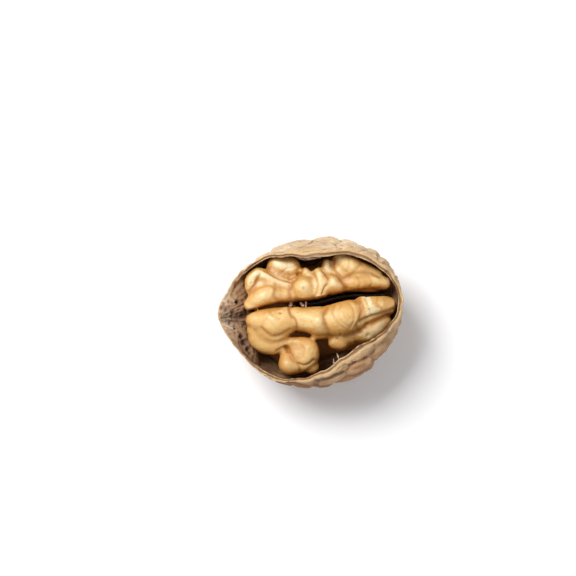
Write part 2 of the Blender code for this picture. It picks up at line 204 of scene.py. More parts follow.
# Ridges of the seed: points along each crest in millimetres, as x, y, height over the seed's
# level and radius
FAR_RIDGES = (
    ((-11.9, 6.1, 0.4, 1.2), (-12.0, 7.7, 0.7, 1.4), (-11.3, 9.4, 0.9, 1.4), (-9.8, 9.6, 1.2, 1.4),
     (-7.6, 8.4, 1.0, 1.4), (-5.4, 7.3, 0.8, 1.3), (-3.7, 6.5, 0.7, 1.3)),
    ((-12.6, 3.5, 1.0, 1.5), (-10.6, 4.5, 1.4, 2.0), (-8.4, 4.8, 1.6, 2.1), (-6.1, 4.6, 1.1, 1.7),
     (-3.9, 4.6, 0.9, 1.7)),
    ((-2.3, 6.3, 1.0, 1.8), (-1.1, 5.3, 1.3, 2.6), (-0.6, 4.3, 1.3, 2.1)),
    ((-0.1, 8.9, 0.7, 0.9), (0.2, 7.6, 0.8, 1.4)),
    ((2.6, 7.7, 1.3, 1.6), (2.6, 5.6, 1.7, 2.0), (1.9, 3.9, 1.5, 1.8)),
    ((4.7, 5.4, 1.3, 1.9), (6.2, 5.0, 1.3, 1.7)),
    ((-6.0, 10.9, -0.6, 2.2), (-3.2, 10.2, -0.7, 2.2), (-4.4, 8.9, -2.0, 1.9)),
    ((4.6, 9.9, 0.5, 1.1), (4.5, 8.2, 0.4, 1.4)),
    ((7.5, 10.2, 0.6, 1.7), (9.1, 8.6, 0.8, 2.2), (10.8, 7.2, 0.8, 2.3), (13.0, 6.5, 0.5, 1.8),
     (15.0, 5.9, 0.1, 1.2)),
    ((8.2, 5.2, 0.6, 1.6), (11.2, 5.3, 0.8, 1.7), (14.0, 5.0, 0.7, 1.6), (16.2, 4.2, 0.4, 1.3)),
    ((6.8, 8.0, 0.2, 2.0), (8.2, 6.8, 0.2, 2.0)),
)
NEAR_RIDGES = (
    ((-13.0, 0.2, 0.9, 1.3), (-12.0, -0.1, 1.2, 1.9), (-10.0, -0.6, 1.2, 2.6), (-7.9, -1.2, 1.1, 3.2),
     (-5.7, -0.9, 1.5, 2.8)),
    ((-10.6, -2.2, 0.9, 1.9), (-8.8, -3.2, 0.8, 2.0), (-7.2, -3.0, 0.9, 1.9)),
    ((-12.7, -1.8, 0.2, 1.5), (-11.9, -3.6, -0.2, 1.8), (-10.4, -3.4, 0.0, 1.9)),
    ((-3.3, -0.9, 1.8, 2.4), (-1.3, -1.4, 1.9, 2.5), (1.2, -2.1, 1.9, 3.0)),
    ((3.6, -2.2, 1.7, 3.1), (5.9, -2.2, 1.8, 3.4), (8.2, -1.8, 1.8, 3.2)),
    ((11.4, -0.9, 1.6, 2.9), (13.8, -0.6, 1.4, 2.5), (16.3, -0.8, 1.0, 1.8)),
    ((-12.6, -3.6, -0.4, 1.7), (-11.3, -4.9, -0.5, 1.9), (-9.4, -5.7, -0.5, 1.8),
     (-7.5, -5.7, -0.5, 1.5), (-5.5, -5.6, -0.4, 1.2), (-3.3, -6.2, -0.3, 1.5),
     (-1.9, -7.5, -0.3, 2.2), (-2.4, -9.2, -0.6, 2.3), (-4.4, -10.0, -0.9, 2.1),
     (-6.3, -9.9, -1.2, 2.3)),
    ((-6.2, -9.4, -1.2, 2.2), (-5.4, -8.3, -1.6, 2.3), (-4.0, -8.4, -1.0, 2.4)),
    ((-1.6, -11.2, -1.7, 1.5), (-2.4, -9.8, -2.0, 1.6)),
    ((4.0, -6.7, -0.6, 1.5), (5.4, -6.9, -0.5, 1.7), (5.3, -5.2, -0.4, 2.0), (7.2, -6.0, -0.8, 1.7)),
    ((0.5, -4.3, 0.4, 1.4), (1.6, -4.2, 0.4, 1.6)),
    ((8.6, -5.6, -0.7, 1.6), (11.0, -5.6, -0.8, 2.1), (13.4, -4.7, -0.7, 1.9), (15.2, -3.6, -0.6, 1.3)),
)

# The lobes' bodies under the ridges, given in the same way
FAR_BODY = (
    ((-9.5, 6.2, -4.6, 3.6), (-4.0, 7.4, -6.4, 4.2), (2.0, 6.6, -8.0, 4.2), (8.0, 7.6, -6.2, 4.7),
     (13.0, 5.8, -5.2, 3.5)),
    ((-10.6, 7.2, 0.2, 1.6), (-8.6, 7.0, 0.3, 1.6), (-6.2, 6.3, 0.3, 1.5)),
    ((-6.5, 6.0, -9.0, 4.2), (2.0, 6.4, -10.4, 4.6), (9.5, 6.0, -9.0, 4.2)),
)
NEAR_BODY = (
    ((-10.3, -3.2, -4.8, 3.6), (-5.0, -3.2, -6.9, 3.6), (1.0, -2.4, -7.0, 3.6),
     (7.0, -2.6, -6.6, 3.7), (12.6, -3.0, -5.6, 3.6)),
    ((-6.0, -3.8, -4.0, 1.4), (-2.6, -4.4, -4.8, 1.4)),
    ((-6.5, -5.0, -9.4, 4.2), (2.0, -3.6, -11.0, 4.8), (9.5, -3.8, -9.4, 4.4)),
)
BRIDGE = (((-10.0, 2.2, -5.4, 2.6), (-7.4, 2.4, -6.2, 2.8), (-5.4, 2.4, -7.0, 2.2)),)

# Creases in the seed's folds: half width and depth in millimetres, then points as x, y
CREASES = (
    (0.22, 0.30, ((-12.8, 6.1), (-11.6, 6.9), (-10.9, 7.6), (-10.4, 8.6), (-9.7, 9.5))),
    (0.42, 0.50, ((-8.3, 10.3), (-6.6, 8.8), (-4.9, 7.7), (-3.1, 7.5), (-2.3, 7.9))),
    (0.12, 0.13, ((-5.0, 9.3), (-3.9, 9.9), (-2.6, 10.0), (-1.6, 10.6))),
    (0.40, 0.28, ((-6.8, 6.1), (-7.3, 4.3), (-6.8, 3.0))),
    (0.35, 0.38, ((-3.6, 7.1), (-4.1, 5.1), (-4.1, 3.0))),
    (0.22, 0.26, ((1.2, 8.3), (1.8, 5.8), (1.4, 3.8), (0.4, 2.4))),
    (0.20, 0.30, ((3.3, 8.7), (4.0, 7.7), (4.3, 6.6), (4.1, 5.5), (3.4, 4.5), (2.7, 3.2))),
    (0.28, 0.38, ((5.9, 10.6), (5.7, 8.2), (7.0, 6.4), (7.8, 4.6), (8.0, 3.6))),
    (0.40, 0.32, ((7.2, 5.9), (10.0, 6.6), (13.0, 6.5), (15.3, 5.5))),
    (0.20, 0.16, ((11.9, 8.9), (10.8, 7.8), (9.8, 6.8))),
    (0.18, 0.14, ((9.4, 10.4), (9.0, 8.8), (8.2, 7.4))),
    (0.16, 0.14, ((10.2, 5.9), (10.8, 4.7), (10.4, 3.5))),
    (0.16, 0.12, ((12.9, 5.9), (13.4, 4.6), (13.0, 3.6))),
    (0.20, 0.36, ((-4.6, 1.7), (-4.5, 0.0), (-3.8, -1.6), (-3.7, -3.0), (-3.9, -3.8))),
    (0.34, 0.34, ((3.1, 0.6), (2.3, -1.2), (2.4, -3.6), (2.8, -5.3))),
    (0.18, 0.16, ((4.7, 0.9), (4.0, -1.0), (4.6, -3.0), (6.1, -4.6))),
    (0.16, 0.12, ((6.2, 0.9), (5.4, -1.0), (5.8, -3.1), (6.9, -4.2))),
    (0.18, 0.16, ((7.8, 0.8), (8.6, -1.1), (8.3, -3.4), (7.3, -4.8))),
    (0.38, 0.36, ((9.7, 1.3), (10.4, -0.8), (9.9, -2.9), (8.8, -4.6))),
    (0.22, 0.28, ((11.7, 1.6), (11.9, -0.4), (12.4, -1.9))),
    (0.26, 0.20, ((14.2, 1.6), (13.8, -0.2), (14.3, -1.9))),
    (0.24, 0.30, ((-11.2, -2.0), (-10.3, -3.1), (-9.0, -4.2), (-7.1, -4.1), (-5.2, -3.3))),
    (0.22, 0.08, ((-10.9, -1.4), (-10.1, -0.4), (-8.9, -1.2), (-8.2, -2.9))),
    (0.16, 0.12, ((-8.9, 1.5), (-8.2, 0.1), (-6.9, -0.8))),
    (0.22, 0.48, ((-8.4, -7.2), (-7.4, -6.8), (-6.5, -6.6), (-5.9, -7.9), (-5.3, -9.5), (-3.8, -10.9),
                  (-2.4, -11.0), (-0.9, -10.2))),
    (0.18, 0.30, ((-4.4, -10.6), (-4.1, -12.1))),
    (0.20, 0.09, ((-3.9, -6.0), (-2.9, -7.4), (-3.2, -9.2))),
    (0.28, 0.80, ((10.1, -3.8), (11.7, -3.2), (13.8, -2.9), (16.0, -2.6), (17.4, -2.0))),
)
# Small hollows in the seed, and swellings where the depth is below zero: x, y, radius and depth
DENTS = ((5.4, 5.5, 1.4, -0.60), (2.7, 7.9, 0.8, -0.25), (-0.9, 5.3, 1.7, -0.30), (-8.9, 0.2, 1.5, -0.25),
         (-11.2, 9.2, 1.1, -0.20), (-5.3, 10.6, 1.6, -0.30), (-9.6, 4.6, 1.3, -0.25), (0.6, -2.2, 1.3, -0.25), (5.9, -2.6, 1.8, -0.35),
         (14.5, -0.6, 1.3, -0.25), (9.6, 8.9, 1.2, -0.25), (14.6, 4.8, 1.0, -0.15), (-6.9, -10.2, 1.2, -0.25),
         (-6.7, 0.7, 0.22, 0.35), (-6.4, -6.9, 0.5, 1.0), (-1.2, 5.1, 0.35, 0.10), (-12.0, 7.9, 0.2, 0.2),
         (4.3, -6.4, 0.22, 0.3), (5.2, -5.6, 0.2, 0.3), (9.2, -5.4, 0.5, 0.4), (11.0, -6.6, 0.4, 0.4))
# The places where the brown skin has come off, as a half width and points
PEELED = (
    (0.62, ((11.3, 2.0), (12.0, 0.9), (12.1, -0.5), (12.7, -1.4), (11.6, -2.4))),
    (0.50, ((12.7, -1.4), (13.9, -1.7), (12.6, -2.3))),
    (0.80, ((12.0, -5.9), (13.2, -5.5), (14.4, -4.6))),
    (0.55, ((10.5, -6.3), (11.4, -6.9))),
)

# Scraps of papery skin: x, y, heading in degrees, length, width, tilt in degrees and curl
FLAKES = (
    (-4.2, 2.6, 60, 1.3, 0.7, 15, 0.8),
    (-3.4, 2.4, 110, 1.3, 0.5, 25, 1.0),
    (-2.6, 2.4, 75, 1.5, 0.6, 30, 1.3),
    (-1.9, 2.3, 120, 1.5, 0.5, 20, 1.1),
    (-1.0, 2.2, 80, 1.6, 0.4, 15, 1.0),
)
FLAKE_STEPS = 20
FLAKE_THICK = 0.07 * MM
FLAKE_START = 30 * MM

# Strips of the lining that have come off under the rim: first and last angle in degrees, width and
# rise of the free edge in millimetres, how far they narrow to their ends, and their lean in degrees
LINING = ((79.0, 97.5, 0.75, -0.35, 0.0, 0.0),)
SLIVERS = (
    (278.4, 279.1, 1.2, -0.1, 0.4, 1.0),
    (279.9, 280.4, 0.7, -0.2, 0.3, -1.5),
    (282.2, 282.8, 1.4, 0.0, 0.6, 1.5),
)
STRIP_ROOT = 0.35 * MM
STRIP_SHARE = 0.985
STRIP_COLUMNS = 60
STRIP_ROWS = 12
STRIP_TEETH = 2.5

# Small folds on the whole seed
SWELL_SIZE = 2.2 * MM
SWELL_DEPTH = 0.26 * MM
WRINKLE_SIZE = 0.75 * MM
WRINKLE_DEPTH = 0.05 * MM

# Picture
ROLL = math.radians(8.0)
ELEVATION = math.radians(84.0)
DISTANCE = 0.340
LENS = 100.0
AIM = Vector((0.0, 0.0, 0.016))
AIM_RIGHT = -0.0051
AIM_UP = 0.0053


def clamp(value, low, high):
    return max(low, min(high, value))


def smooth_step(value):
    t = clamp(value, 0.0, 1.0)
    return t * t * (3.0 - 2.0 * t)


def smooth_steps(values):
    t = np.clip(values, 0.0, 1.0)
    return t * t * (3.0 - 2.0 * t)


def positions(mesh):
    places = np.empty(len(mesh.vertices) * 3, np.float32)
    mesh.vertices.foreach_get("co", places)
    return places.reshape(-1, 3).astype(float)


def directions(mesh):
    found = np.empty(len(mesh.vertices) * 3, np.float32)
    mesh.vertices.foreach_get("normal", found)
    return found.reshape(-1, 3).astype(float)


def set_positions(mesh, places):
    mesh.vertices.foreach_set("co", places.astype(np.float32).ravel())
    mesh.update()


def add_values(mesh, name, values):
    """Keeps a number for each point of the mesh, for its material to read."""
    attribute = mesh.attributes.new(name, "FLOAT", "POINT")
    attribute.data.foreach_set("value", np.asarray(values, np.float32))


def waves(places, size, seed):
    """Smooth noise from about -1 to 1 at each place; size is one length, or one for each axis."""
    scaled = places / np.asarray(size) + seed
    return np.array([noise.noise(Vector(spot)) for spot in scaled])


def cell_distances(places, size, seed):
    """How far each place is from the nearest and the second nearest of a net's cell centres."""
    scaled = places / np.asarray(size) + seed
    found = [noise.voronoi(Vector(spot))[0] for spot in scaled]
    return np.array([near[0] for near in found]), np.array([near[1] for near in found])


def neighbour_mean(mesh, values):
    """For each point, the mean of its neighbours' values."""
    ends = np.empty(len(mesh.edges) * 2, np.int32)
    mesh.edges.foreach_get("vertices", ends)
    first, second = ends.reshape(-1, 2).T
    count = np.bincount(ends, minlength=len(mesh.vertices)).clip(1)
    total = [
        np.bincount(first, column[second], len(count)) + np.bincount(second, column[first], len(count))
        for column in values.T
    ]
    return (np.array(total) / count).T


def hollowness(mesh, rounds, span):
    """How deep each point lies in a hollow as wide as so many rounds of smoothing, -1 to 1."""
    places = positions(mesh)
    smoothed = places
    for _ in range(rounds):
        smoothed = neighbour_mean(mesh, smoothed)
    depth = ((smoothed - places) * directions(mesh)).sum(1)
    return np.clip(depth / span, -1.0, 1.0)


class Egg:
    """The nut's egg shape, drawn in by a wall: it turns points of a unit ball into places and back."""

    def __init__(self, wall=0.0, shoulder_wall=0.0):
        self.half_length = (LENGTH - BEAK) / 2 - wall
        self.half_width = WIDTH / 2 - wall
        self.keel = KEEL - wall
        self.shoulder = SHOULDER - shoulder_wall

    def fullness(self, up):
        high = clamp(up, 0.0, 0.9)
        return (1.0 - high * high) ** -END_FULLNESS

    def narrowing(self, along):
        if along < 0:
            return 1.0 - POINTED * min(-along, 1.0) ** POINT_SHARPNESS
        return 1.0 + BLUNT * math.sin(math.pi * min(along, 1.0))

    def flattening(self, along):
        return 1.0 - FLATTER_TIP * clamp(-along, 0.0, 1.0) ** POINT_SHARPNESS

    def sway(self, along):
        if along < 0:
            return TIP_SWAY * min(-along, 1.0) ** TIP_SWAY_CURVE
        return BLUNT_SWAY * min(along, 1.0) ** BLUNT_SWAY_CURVE

    def place(self, ball):
        along = ball.x * self.fullness(ball.z)
        height = self.shoulder if ball.z > 0 else self.keel
        return Vector((
            MIDDLE_X + self.half_length * along,
            self.half_width * ball.y * self.narrowing(along) + self.sway(along),
            GIRTH + height * ball.z * self.flattening(along),
        ))

    def ball(self, point):
        along = (point.x - MIDDLE_X) / self.half_length
        height = self.shoulder if point.z > GIRTH else self.keel
        up = (point.z - GIRTH) / (height * self.flattening(along))
        across = (point.y - self.sway(along)) / (self.half_width * self.narrowing(along))
        return Vector((along / self.fullness(up), across, up))

    def hold(self, point):
        """The point itself if it is inside, or else the place on the wall nearest to it."""
        ball = self.ball(point)
        if ball.length <= 1.0:
            return point
        return self.place(ball.normalized())


OUTSIDE = Egg()
INSIDE = Egg(WALL, SHOULDER_WALL)
SEAT = Egg(WALL + SEED_GAP, SHOULDER_WALL + SEED_GAP)


def ledge(height):
    """How far towards the point the cavity reaches at a height, over the spongy end's broken face."""
    below = LEDGE_TOP - height
    return LEDGE_X - LEDGE_RISE * math.exp(-max(below, -LEDGE_DROP) / LEDGE_DROP)


def rim_height(angle):
    degrees = math.degrees(angle) % 360
    height = 0.0
    for (start, low), (end, high) in zip(RIM_HEIGHTS, RIM_HEIGHTS[1:]):
        if start <= degrees <= end:
            height = low + (high - low) * smooth_step((degrees - start) / (end - start))
    turn = Vector((math.cos(angle), math.sin(angle), 0.15)) * RIM_RAGGED_TURNS
    return height * MM + RIM_RAGGED * noise.noise(turn)


RIM_LEVELS = {}


def rim_level(angle):
    """The rim's height at an angle, worked out once."""
    if angle not in RIM_LEVELS:
        RIM_LEVELS[angle] = rim_height(angle)
    return RIM_LEVELS[angle]


def ball_point(angle, share, egg):
    """A point of the unit ball, from the bottom at share 0 up to the rim at share 1."""
    rim_up = math.asin(rim_level(angle) / egg.shoulder)
    up = -math.pi / 2 + share * (rim_up + math.pi / 2)
    return Vector((math.cos(up) * math.cos(angle), math.cos(up) * math.sin(angle), math.sin(up)))


def net_wander(point):
    """How far the net is drawn aside at a place, in shares of a cell."""
    spot = point / NET_WANDER_LENGTH
    return NET_WANDER * Vector([noise.noise(spot + Vector(start)) for start in NET_WANDER_STARTS])


def net_edge(point):
    """How far a place is from the nearest line of the net, and of the finer net, in shares of a cell."""
    cell = Vector((point.x / NET_LENGTH, point.y / NET_WIDTH, point.z / NET_WIDTH)) + net_wander(point)
    nearest = noise.voronoi(cell)[0]
    twig = noise.voronoi(cell / TWIG_SCALE)[0]
    return nearest[1] - nearest[0], twig[1] - twig[0]


def valley(point):
    """How deep in a broad valley a place lies, from 0 to 1."""
    spot = Vector((point.x / VALLEY_LENGTH, point.y / VALLEY_WIDTH, point.z / VALLEY_WIDTH))
    return clamp(0.5 + noise.noise(spot), 0.0, 1.0)


def line_share(edge, width):
    """From 0 beside a line to 1 in the middle of it."""
    return smooth_step(1.0 - edge / width)


def outer_wall(angle, share):
    """A place on the outside, and how deep it is in a crack of the net, from 0 to 1."""
    ball = ball_point(angle, share, OUTSIDE)
    point = OUTSIDE.place(ball)
    outward = Vector((ball.x / LENGTH, ball.y / WIDTH, ball.z / (2 * KEEL))).normalized()
    off_rim = NET_AT_RIM + (1.0 - NET_AT_RIM) * smooth_step((1.0 - share) / RIM_FADE)
    off_spot = smooth_step((ball.z + SPOT_EDGE) / SPOT_FADE)
    edge, twig_edge = net_edge(point)
    crack = line_share(edge, CRACK_LINE)
    twig = line_share(twig_edge, TWIG_LINE) * clamp(1.2 * noise.noise(point / NET_LENGTH) + 0.5, 0.0, 1.0)
    depth = VALLEY_DEPTH * valley(point) + NET_DEPTH * line_share(edge, NET_LINE) * off_rim
    depth += CRACK_DEPTH * crack * off_rim + TWIG_DEPTH * twig * off_rim
    beak = max(-ball.x, 0.0) ** BEAK_SHARPNESS
    point -= outward * depth * off_spot * (1.0 - beak)
    point.x -= BEAK * beak
    furrow = abs(math.sin(SPOT_POINTS / 2 * angle)) * smooth_step(ball.xy.length / SPOT_HEART)
    point.z += SPOT_FURROW * furrow * (1.0 - off_spot)
    return point, max(crack, 0.6 * twig) * off_spot


def inner_wall(angle, share):
    """A place on the inside, and how far it was pushed in by the spongy end."""
    point = INSIDE.place(ball_point(angle, share, INSIDE))
    pushed = max(point.x, ledge(point.z)) - point.x
    point.x += pushed
    return point, pushed


def rim(angle, share):
    """Across the cracked rim: a pale crest outside, a groove, and a thin lip inside.

    At the spongy end the rim is as wide as the torn face. It returns the place, how deep in the
    groove it is and how much it belongs to the spongy end, from 0 to 1.
    """
    point = outer_wall(angle, 1.0)[0].lerp(inner_wall(angle, 1.0)[0], share)
    spongy = smooth_step((SPONGE_X - point.x) / SPONGE_EDGE) * smooth_step(share / RIM_SKIN)
    wander = RIM_WANDER * noise.noise(Vector((math.cos(angle), math.sin(angle), 0.4)) * RIM_WANDER_TURNS)
    groove = math.exp(-((share - RIM_GROOVE_AT - wander) / RIM_GROOVE_WIDTH) ** 2) * (1.0 - spongy)
    crest = RIM_CREST * math.sin(math.pi * share) ** RIM_CREST_ROUNDNESS
    point.z += crest - RIM_GROOVE * groove
    return point, groove, spongy


def with_modifiers(mesh, modifiers):
    """A new mesh: this one after a list of modifiers, each a kind and its settings."""
    helper = bpy.data.objects.new("helper", mesh)
    bpy.context.scene.collection.objects.link(helper)
    for kind, settings in modifiers:
        modifier = helper.modifiers.new(kind, kind)
        for name, value in settings.items():
            setattr(modifier, name, value)
    graph = bpy.context.evaluated_depsgraph_get()
    result = bpy.data.meshes.new_from_object(helper.evaluated_get(graph))
    bpy.data.objects.remove(helper)
    return result


def mesh_of(bm, name):
    mesh = bpy.data.meshes.new(name)
    bm.to_mesh(mesh)
    bm.free()
    return mesh


def add_piece(name, mesh, material, slot, *nodes):
    """Shows a mesh as a piece of the walnut, in place of its CAD nodes if it has any."""
    mesh.materials.append(material)
    mesh.shade_smooth()
    piece = bpy.data.objects.new(name, mesh)
    bpy.context.scene.collection.objects.link(piece)
    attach(piece, "root")
    if nodes:
        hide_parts(*nodes)
    return piece


def ring_place(angle, ring):
    """A point of the shell, with its marks: crack, rim, inside and sponge, and how far it was pushed."""
    if ring <= OUTER_RINGS:
        share = 1.0 - (1.0 - ring / OUTER_RINGS) ** RING_CROWDING
        point, crack = outer_wall(angle, share)
        pale = RIM_PALENESS * smooth_step((share - 1.0 + RIM_PALE) / RIM_PALE)
        return point, (crack, pale, 0.0, 0.0, 0.0)
    if ring <= OUTER_RINGS + RIM_RINGS:
        share = (ring - OUTER_RINGS) / (RIM_RINGS + 1)
        point, groove, spongy = rim(angle, share)
        return point, (groove, 1.0, 0.0, spongy, RIM_TEAR * spongy)
    left = OUTER_RINGS + RIM_RINGS + 1 + INNER_RINGS - ring
    share = 1.0 - (1.0 - left / INNER_RINGS) ** RING_CROWDING
    point, pushed = inner_wall(angle, share)
    sponge = smooth_step((SPONGE_X - point.x) / SPONGE_EDGE + 0.5)
    return point, (0.0, 0.0, 1.0, sponge, pushed)


def flat_spot(mesh):
    """Cuts the round bottom off at z = 0, so that the nut stands on a flat spot."""
    bm = bmesh.new()
    bm.from_mesh(mesh)
    everything = list(bm.verts) + list(bm.edges) + list(bm.faces)
    cut = bmesh.ops.bisect_plane(
        bm, geom=everything, plane_co=(0, 0, 0), plane_no=(0, 0, 1), clear_inner=True
    )
    edges = [piece for piece in cut["geom_cut"] if isinstance(piece, bmesh.types.BMEdge)]
    made = bmesh.ops.contextual_create(bm, geom=edges)
    bmesh.ops.triangulate(bm, faces=made["faces"])
    bmesh.ops.recalc_face_normals(bm, faces=bm.faces)
    return mesh_of(bm, "shell_skin")


def sponge_relief(places, pushed):
    """How deep the spongy end is torn at each place, and how much painted shade it gets there, darkest where it is cut
    deepest.
    """
    offset = places - np.array(TIP)
    turn = np.arctan2(offset[:, 1], offset[:, 0])
    reach = np.hypot(offset[:, 0], offset[:, 1])
    fan = np.stack((FAN_TURNS * turn, reach / FAN_LENGTH, places[:, 2] / FAN_LENGTH), 1)
    fibres = 1.0 - np.clip(1.8 * np.abs(waves(fan, 1.0, 4.6)), 0.0, 1.0)
    fine = np.abs(waves(fan, (0.35, 0.8, 0.8), 1.7))
    crumbs = np.clip(waves(places, CRUMB_SIZE, 6.4), 0.0, 1.0)
    fan_share = FAN_REST + (1.0 - FAN_REST) * np.exp(-((turn / FAN_SPREAD) ** 2))
    depth = FAN_DEPTH * fan_share * (0.7 * fibres + 0.6 * fine) + CRUMB_DEPTH * crumbs
    # Painted shade: the darkness follows the deepest cuts, in the fibres, the crumbs and the holes
    dark = 0.95 * fibres * fan_share + 0.8 * crumbs
    for x, y, radius, deep in HOLES:
        wobble = 1.0 + 0.5 * waves(places, 0.5 * MM, x)
        away = np.hypot(places[:, 0] - x * MM, places[:, 1] - y * MM) / (radius * MM * wobble)
        bowl = np.exp(-(away**4))
        depth += deep * MM * bowl
        dark = np.maximum(dark, 1.3 * bowl)
    return np.minimum(depth, SPONGE_ROOM + 0.7 * pushed), np.clip(dark, 0.0, 1.0)


def shell_relief(mesh, marks):
    """Fibres, pits and chips on the shell's mesh, all cut into it and never added. It gives back where shade is
    painted: in the pits, the scars and the spongy end's torn hollows.
    """
    places = positions(mesh)
    inward = -directions(mesh)
    crack, edge, inside, sponge, pushed = marks.T
    outside = 1.0 - np.maximum(edge, inside)
    clear = smooth_steps((places[:, 2] - 1.2 * MM) / (1.5 * MM))
    fibres = 0.5 + waves(places, (FIBRE_LENGTH, FIBRE_WIDTH, FIBRE_WIDTH), 3.1)
    near, _ = cell_distances(places, PIT_SPACING, 7.7)
    pits = smooth_steps(1.0 - near / PIT_SIZE) * (waves(places, 4.0 * MM, 1.9) > 0.0)
    depth = outside * clear * (FIBRE_DEPTH * fibres + PIT_DEPTH * pits)
    scar = np.zeros(len(places))
    for half_width, deep, points in SCARS:
        away = far_from_line(places, points) / (half_width * MM)
        patchy = np.clip(0.8 + 1.4 * waves(places, 1.0 * MM, 3.7), 0.0, 1.0)
        cut = np.exp(-(away**2)) * outside * (places[:, 2] > GIRTH) * patchy
        depth += deep * MM * cut
        scar = np.maximum(scar, cut)
    chips = np.clip(waves(places, (1.4 * MM, 1.4 * MM, 3.0 * MM), 5.3), 0.0, 1.0)
    splinters = np.abs(waves(places, (0.9 * MM, 0.5 * MM, 1.4 * MM), 2.2))
    depth += edge * (0.42 * MM * chips + 0.16 * MM * splinters)
    wall = inside * (1.0 - sponge)
    lining = np.abs(waves(places, (6.0 * MM, 0.8 * MM, 0.8 * MM), 8.8))
    depth += wall * 0.22 * MM * lining
    torn, dark = sponge_relief(places, pushed)
    depth += sponge * torn
    low, high = np.array(CAD_BOX)
    set_positions(mesh, np.clip(places + inward * depth[:, None], low, high))
    return np.maximum(np.maximum(pits * outside, scar), sponge * dark)


def build_shell(material):
    """One ball pushed in on itself: its lower rings are the outside, the upper ones the inside."""
    rings = OUTER_RINGS + RIM_RINGS + 1 + INNER_RINGS
    bm = bmesh.new()
    bmesh.ops.create_uvsphere(bm, u_segments=SEGMENTS, v_segments=rings, radius=1.0)
    marks = []
    for vert in bm.verts:
        latitude = math.asin(clamp(vert.co.z, -1.0, 1.0))
        ring = round((latitude / math.pi + 0.5) * rings)
        angle = round(math.degrees(math.atan2(vert.co.y, vert.co.x)), 4)
        vert.co, mark = ring_place(math.radians(angle), ring)
        marks.append(mark)
    mesh = mesh_of(bm, "shell_skin")
    marks = np.array(marks)
    recess_shade_marks = shell_relief(mesh, marks)
    for name, values in zip(("crack", "edge", "inside", "sponge"), marks.T):
        add_values(mesh, name, values)
    add_values(mesh, "painted_recess_shade", recess_shade_marks)
    return add_piece("shell_skin", flat_spot(mesh), material, "shell", "shell")


def slot_y(x):
    """The middle of the slot between the lobes."""
    turn = 2 * math.pi * (x - SLOT_WAVE_START) / SLOT_WAVE_LENGTH
    return SLOT_Y + SLOT_WAVE * math.cos(turn)


def slot_half(x):
    """Half the slot's width, which closes towards the point, where the lobes touch."""
    return SLOT_SHUT + (SLOT_HALF - SLOT_SHUT) * smooth_step((x - SLOT_SHUT_X) / SLOT_OPENS)


def curve_point(before, start, end, after, t):
    """A point between start and end on the smooth curve through all four."""
    return 0.5 * (
        2 * start
        + (end - before) * t
        + (2 * before - 5 * start + 4 * end - after) * t * t
        + (3 * start - before - 3 * end + after) * t * t * t
    )


def along_curve(knots, steps_between):
    """Points close together on the smooth curve through all the knots."""
    found = [knots[0]]
    for index in range(len(knots) - 1):
        before = knots[max(index - 1, 0)]
        start = knots[index]
        end = knots[index + 1]
        after = knots[min(index + 2, len(knots) - 1)]
        steps = steps_between(start, end)
        for step in range(1, steps + 1):
            found.append(curve_point(before, start, end, after, step / steps))
    return found


def beads(ridge):
    """Places and radii close together along a ridge."""
    return along_curve(
        [Vector(knot) * MM for knot in ridge],
        lambda start, end: math.ceil((end - start).length / (BEAD_STEP * min(start.w, end.w))),
    )


def balls(places):
    """A mesh of overlapping balls, one copy of an icosphere for each place and radius."""
    bm = bmesh.new()
    bmesh.ops.create_icosphere(bm, subdivisions=3, radius=1.0)
    ball = mesh_of(bm, "ball")
    count = len(ball.vertices)
    corners = []
    faces = []
    for index, (place, radius) in enumerate(places):
        corners += [place + radius * vert.co for vert in ball.vertices]
        faces += [[index * count + corner for corner in face.vertices] for face in ball.polygons]
    mesh = bpy.data.meshes.new("balls")
    mesh.from_pydata(corners, [], faces)
    return mesh


def stacks(ridges, steps):
    """Places and radii along each ridge and below it, so that ridges stand up like walls."""
    found = []
    for ridge in ridges:
        for bead in beads(ridge):
            for step in range(steps):
                drop = Vector((0, 0, SEED_LEVEL - step * STACK_DROP * bead.w))
                found.append((bead.xyz + drop, bead.w * PLUMP))
    return found


def fused(mesh, voxel, rounds):
    """Overlapping balls as one smooth body."""
    return with_modifiers(mesh, (
        ("REMESH", {"mode": "VOXEL", "voxel_size": voxel}),
        ("SMOOTH", {"factor": 0.5, "iterations": rounds}),
    ))


def lobe(ridges, body, side):
    """One lobe, kept on its own side of the slot."""
    mesh = fused(balls(stacks(ridges, STACK_STEPS) + stacks(body, 1)), LOBE_VOXEL, 2)
    for vert in mesh.vertices:
        edge = slot_y(vert.co.x) + side * slot_half(vert.co.x)
        if side * (vert.co.y - edge) < 0:
            vert.co.y = edge
    return mesh


def seat(point):
    """Keeps a point of the seed clear of the shell's inside and of the spongy end."""
    held = SEAT.hold(point)
    held.x = max(held.x, ledge(held.z - SEED_GAP) + SEED_GAP)
    return held


def far_from_line(places, line):
    """How far each place is in plan from a line through a list of points, in metres."""
    knots = [Vector((x, y, 0.0)) * MM for x, y in line]
    curve = np.array([point.xy for point in along_curve(knots, lambda start, end: 8)])
    start = curve[:-1, None, :]
    run = curve[1:, None, :] - start
    offset = places[None, :, :2] - start
    share = ((offset * run).sum(2) / (run * run).sum(2)).clip(0.0, 1.0)
    return np.linalg.norm(offset - share[:, :, None] * run, axis=2).min(0)


def carve_creases(places, outward):
    """How deep the creases and dents cut at each place, and how much of a crease it is."""
    facing = smooth_steps(0.35 + outward[:, 2] * 1.2)
    depth = np.zeros(len(places))
    line = np.zeros(len(places))
    for half_width, deep, points in CREASES:
        away = far_from_line(places, points) / (half_width * MM)
        broad = np.exp(-((away / 2.4) ** 2))
        sharp = np.exp(-(away**2))
        depth += facing * deep * MM * (0.55 * broad + 0.45 * sharp)
        line = np.maximum(line, facing * sharp * min(deep / 0.4, 1.0))
    for x, y, radius, deep in DENTS:
        away = np.hypot(places[:, 0] - x * MM, places[:, 1] - y * MM) / (radius * MM)
        bowl = np.exp(-(away**2))
        depth += facing * deep * MM * bowl
        line = np.maximum(line, facing * bowl * (deep > 0.0))
    return depth, line


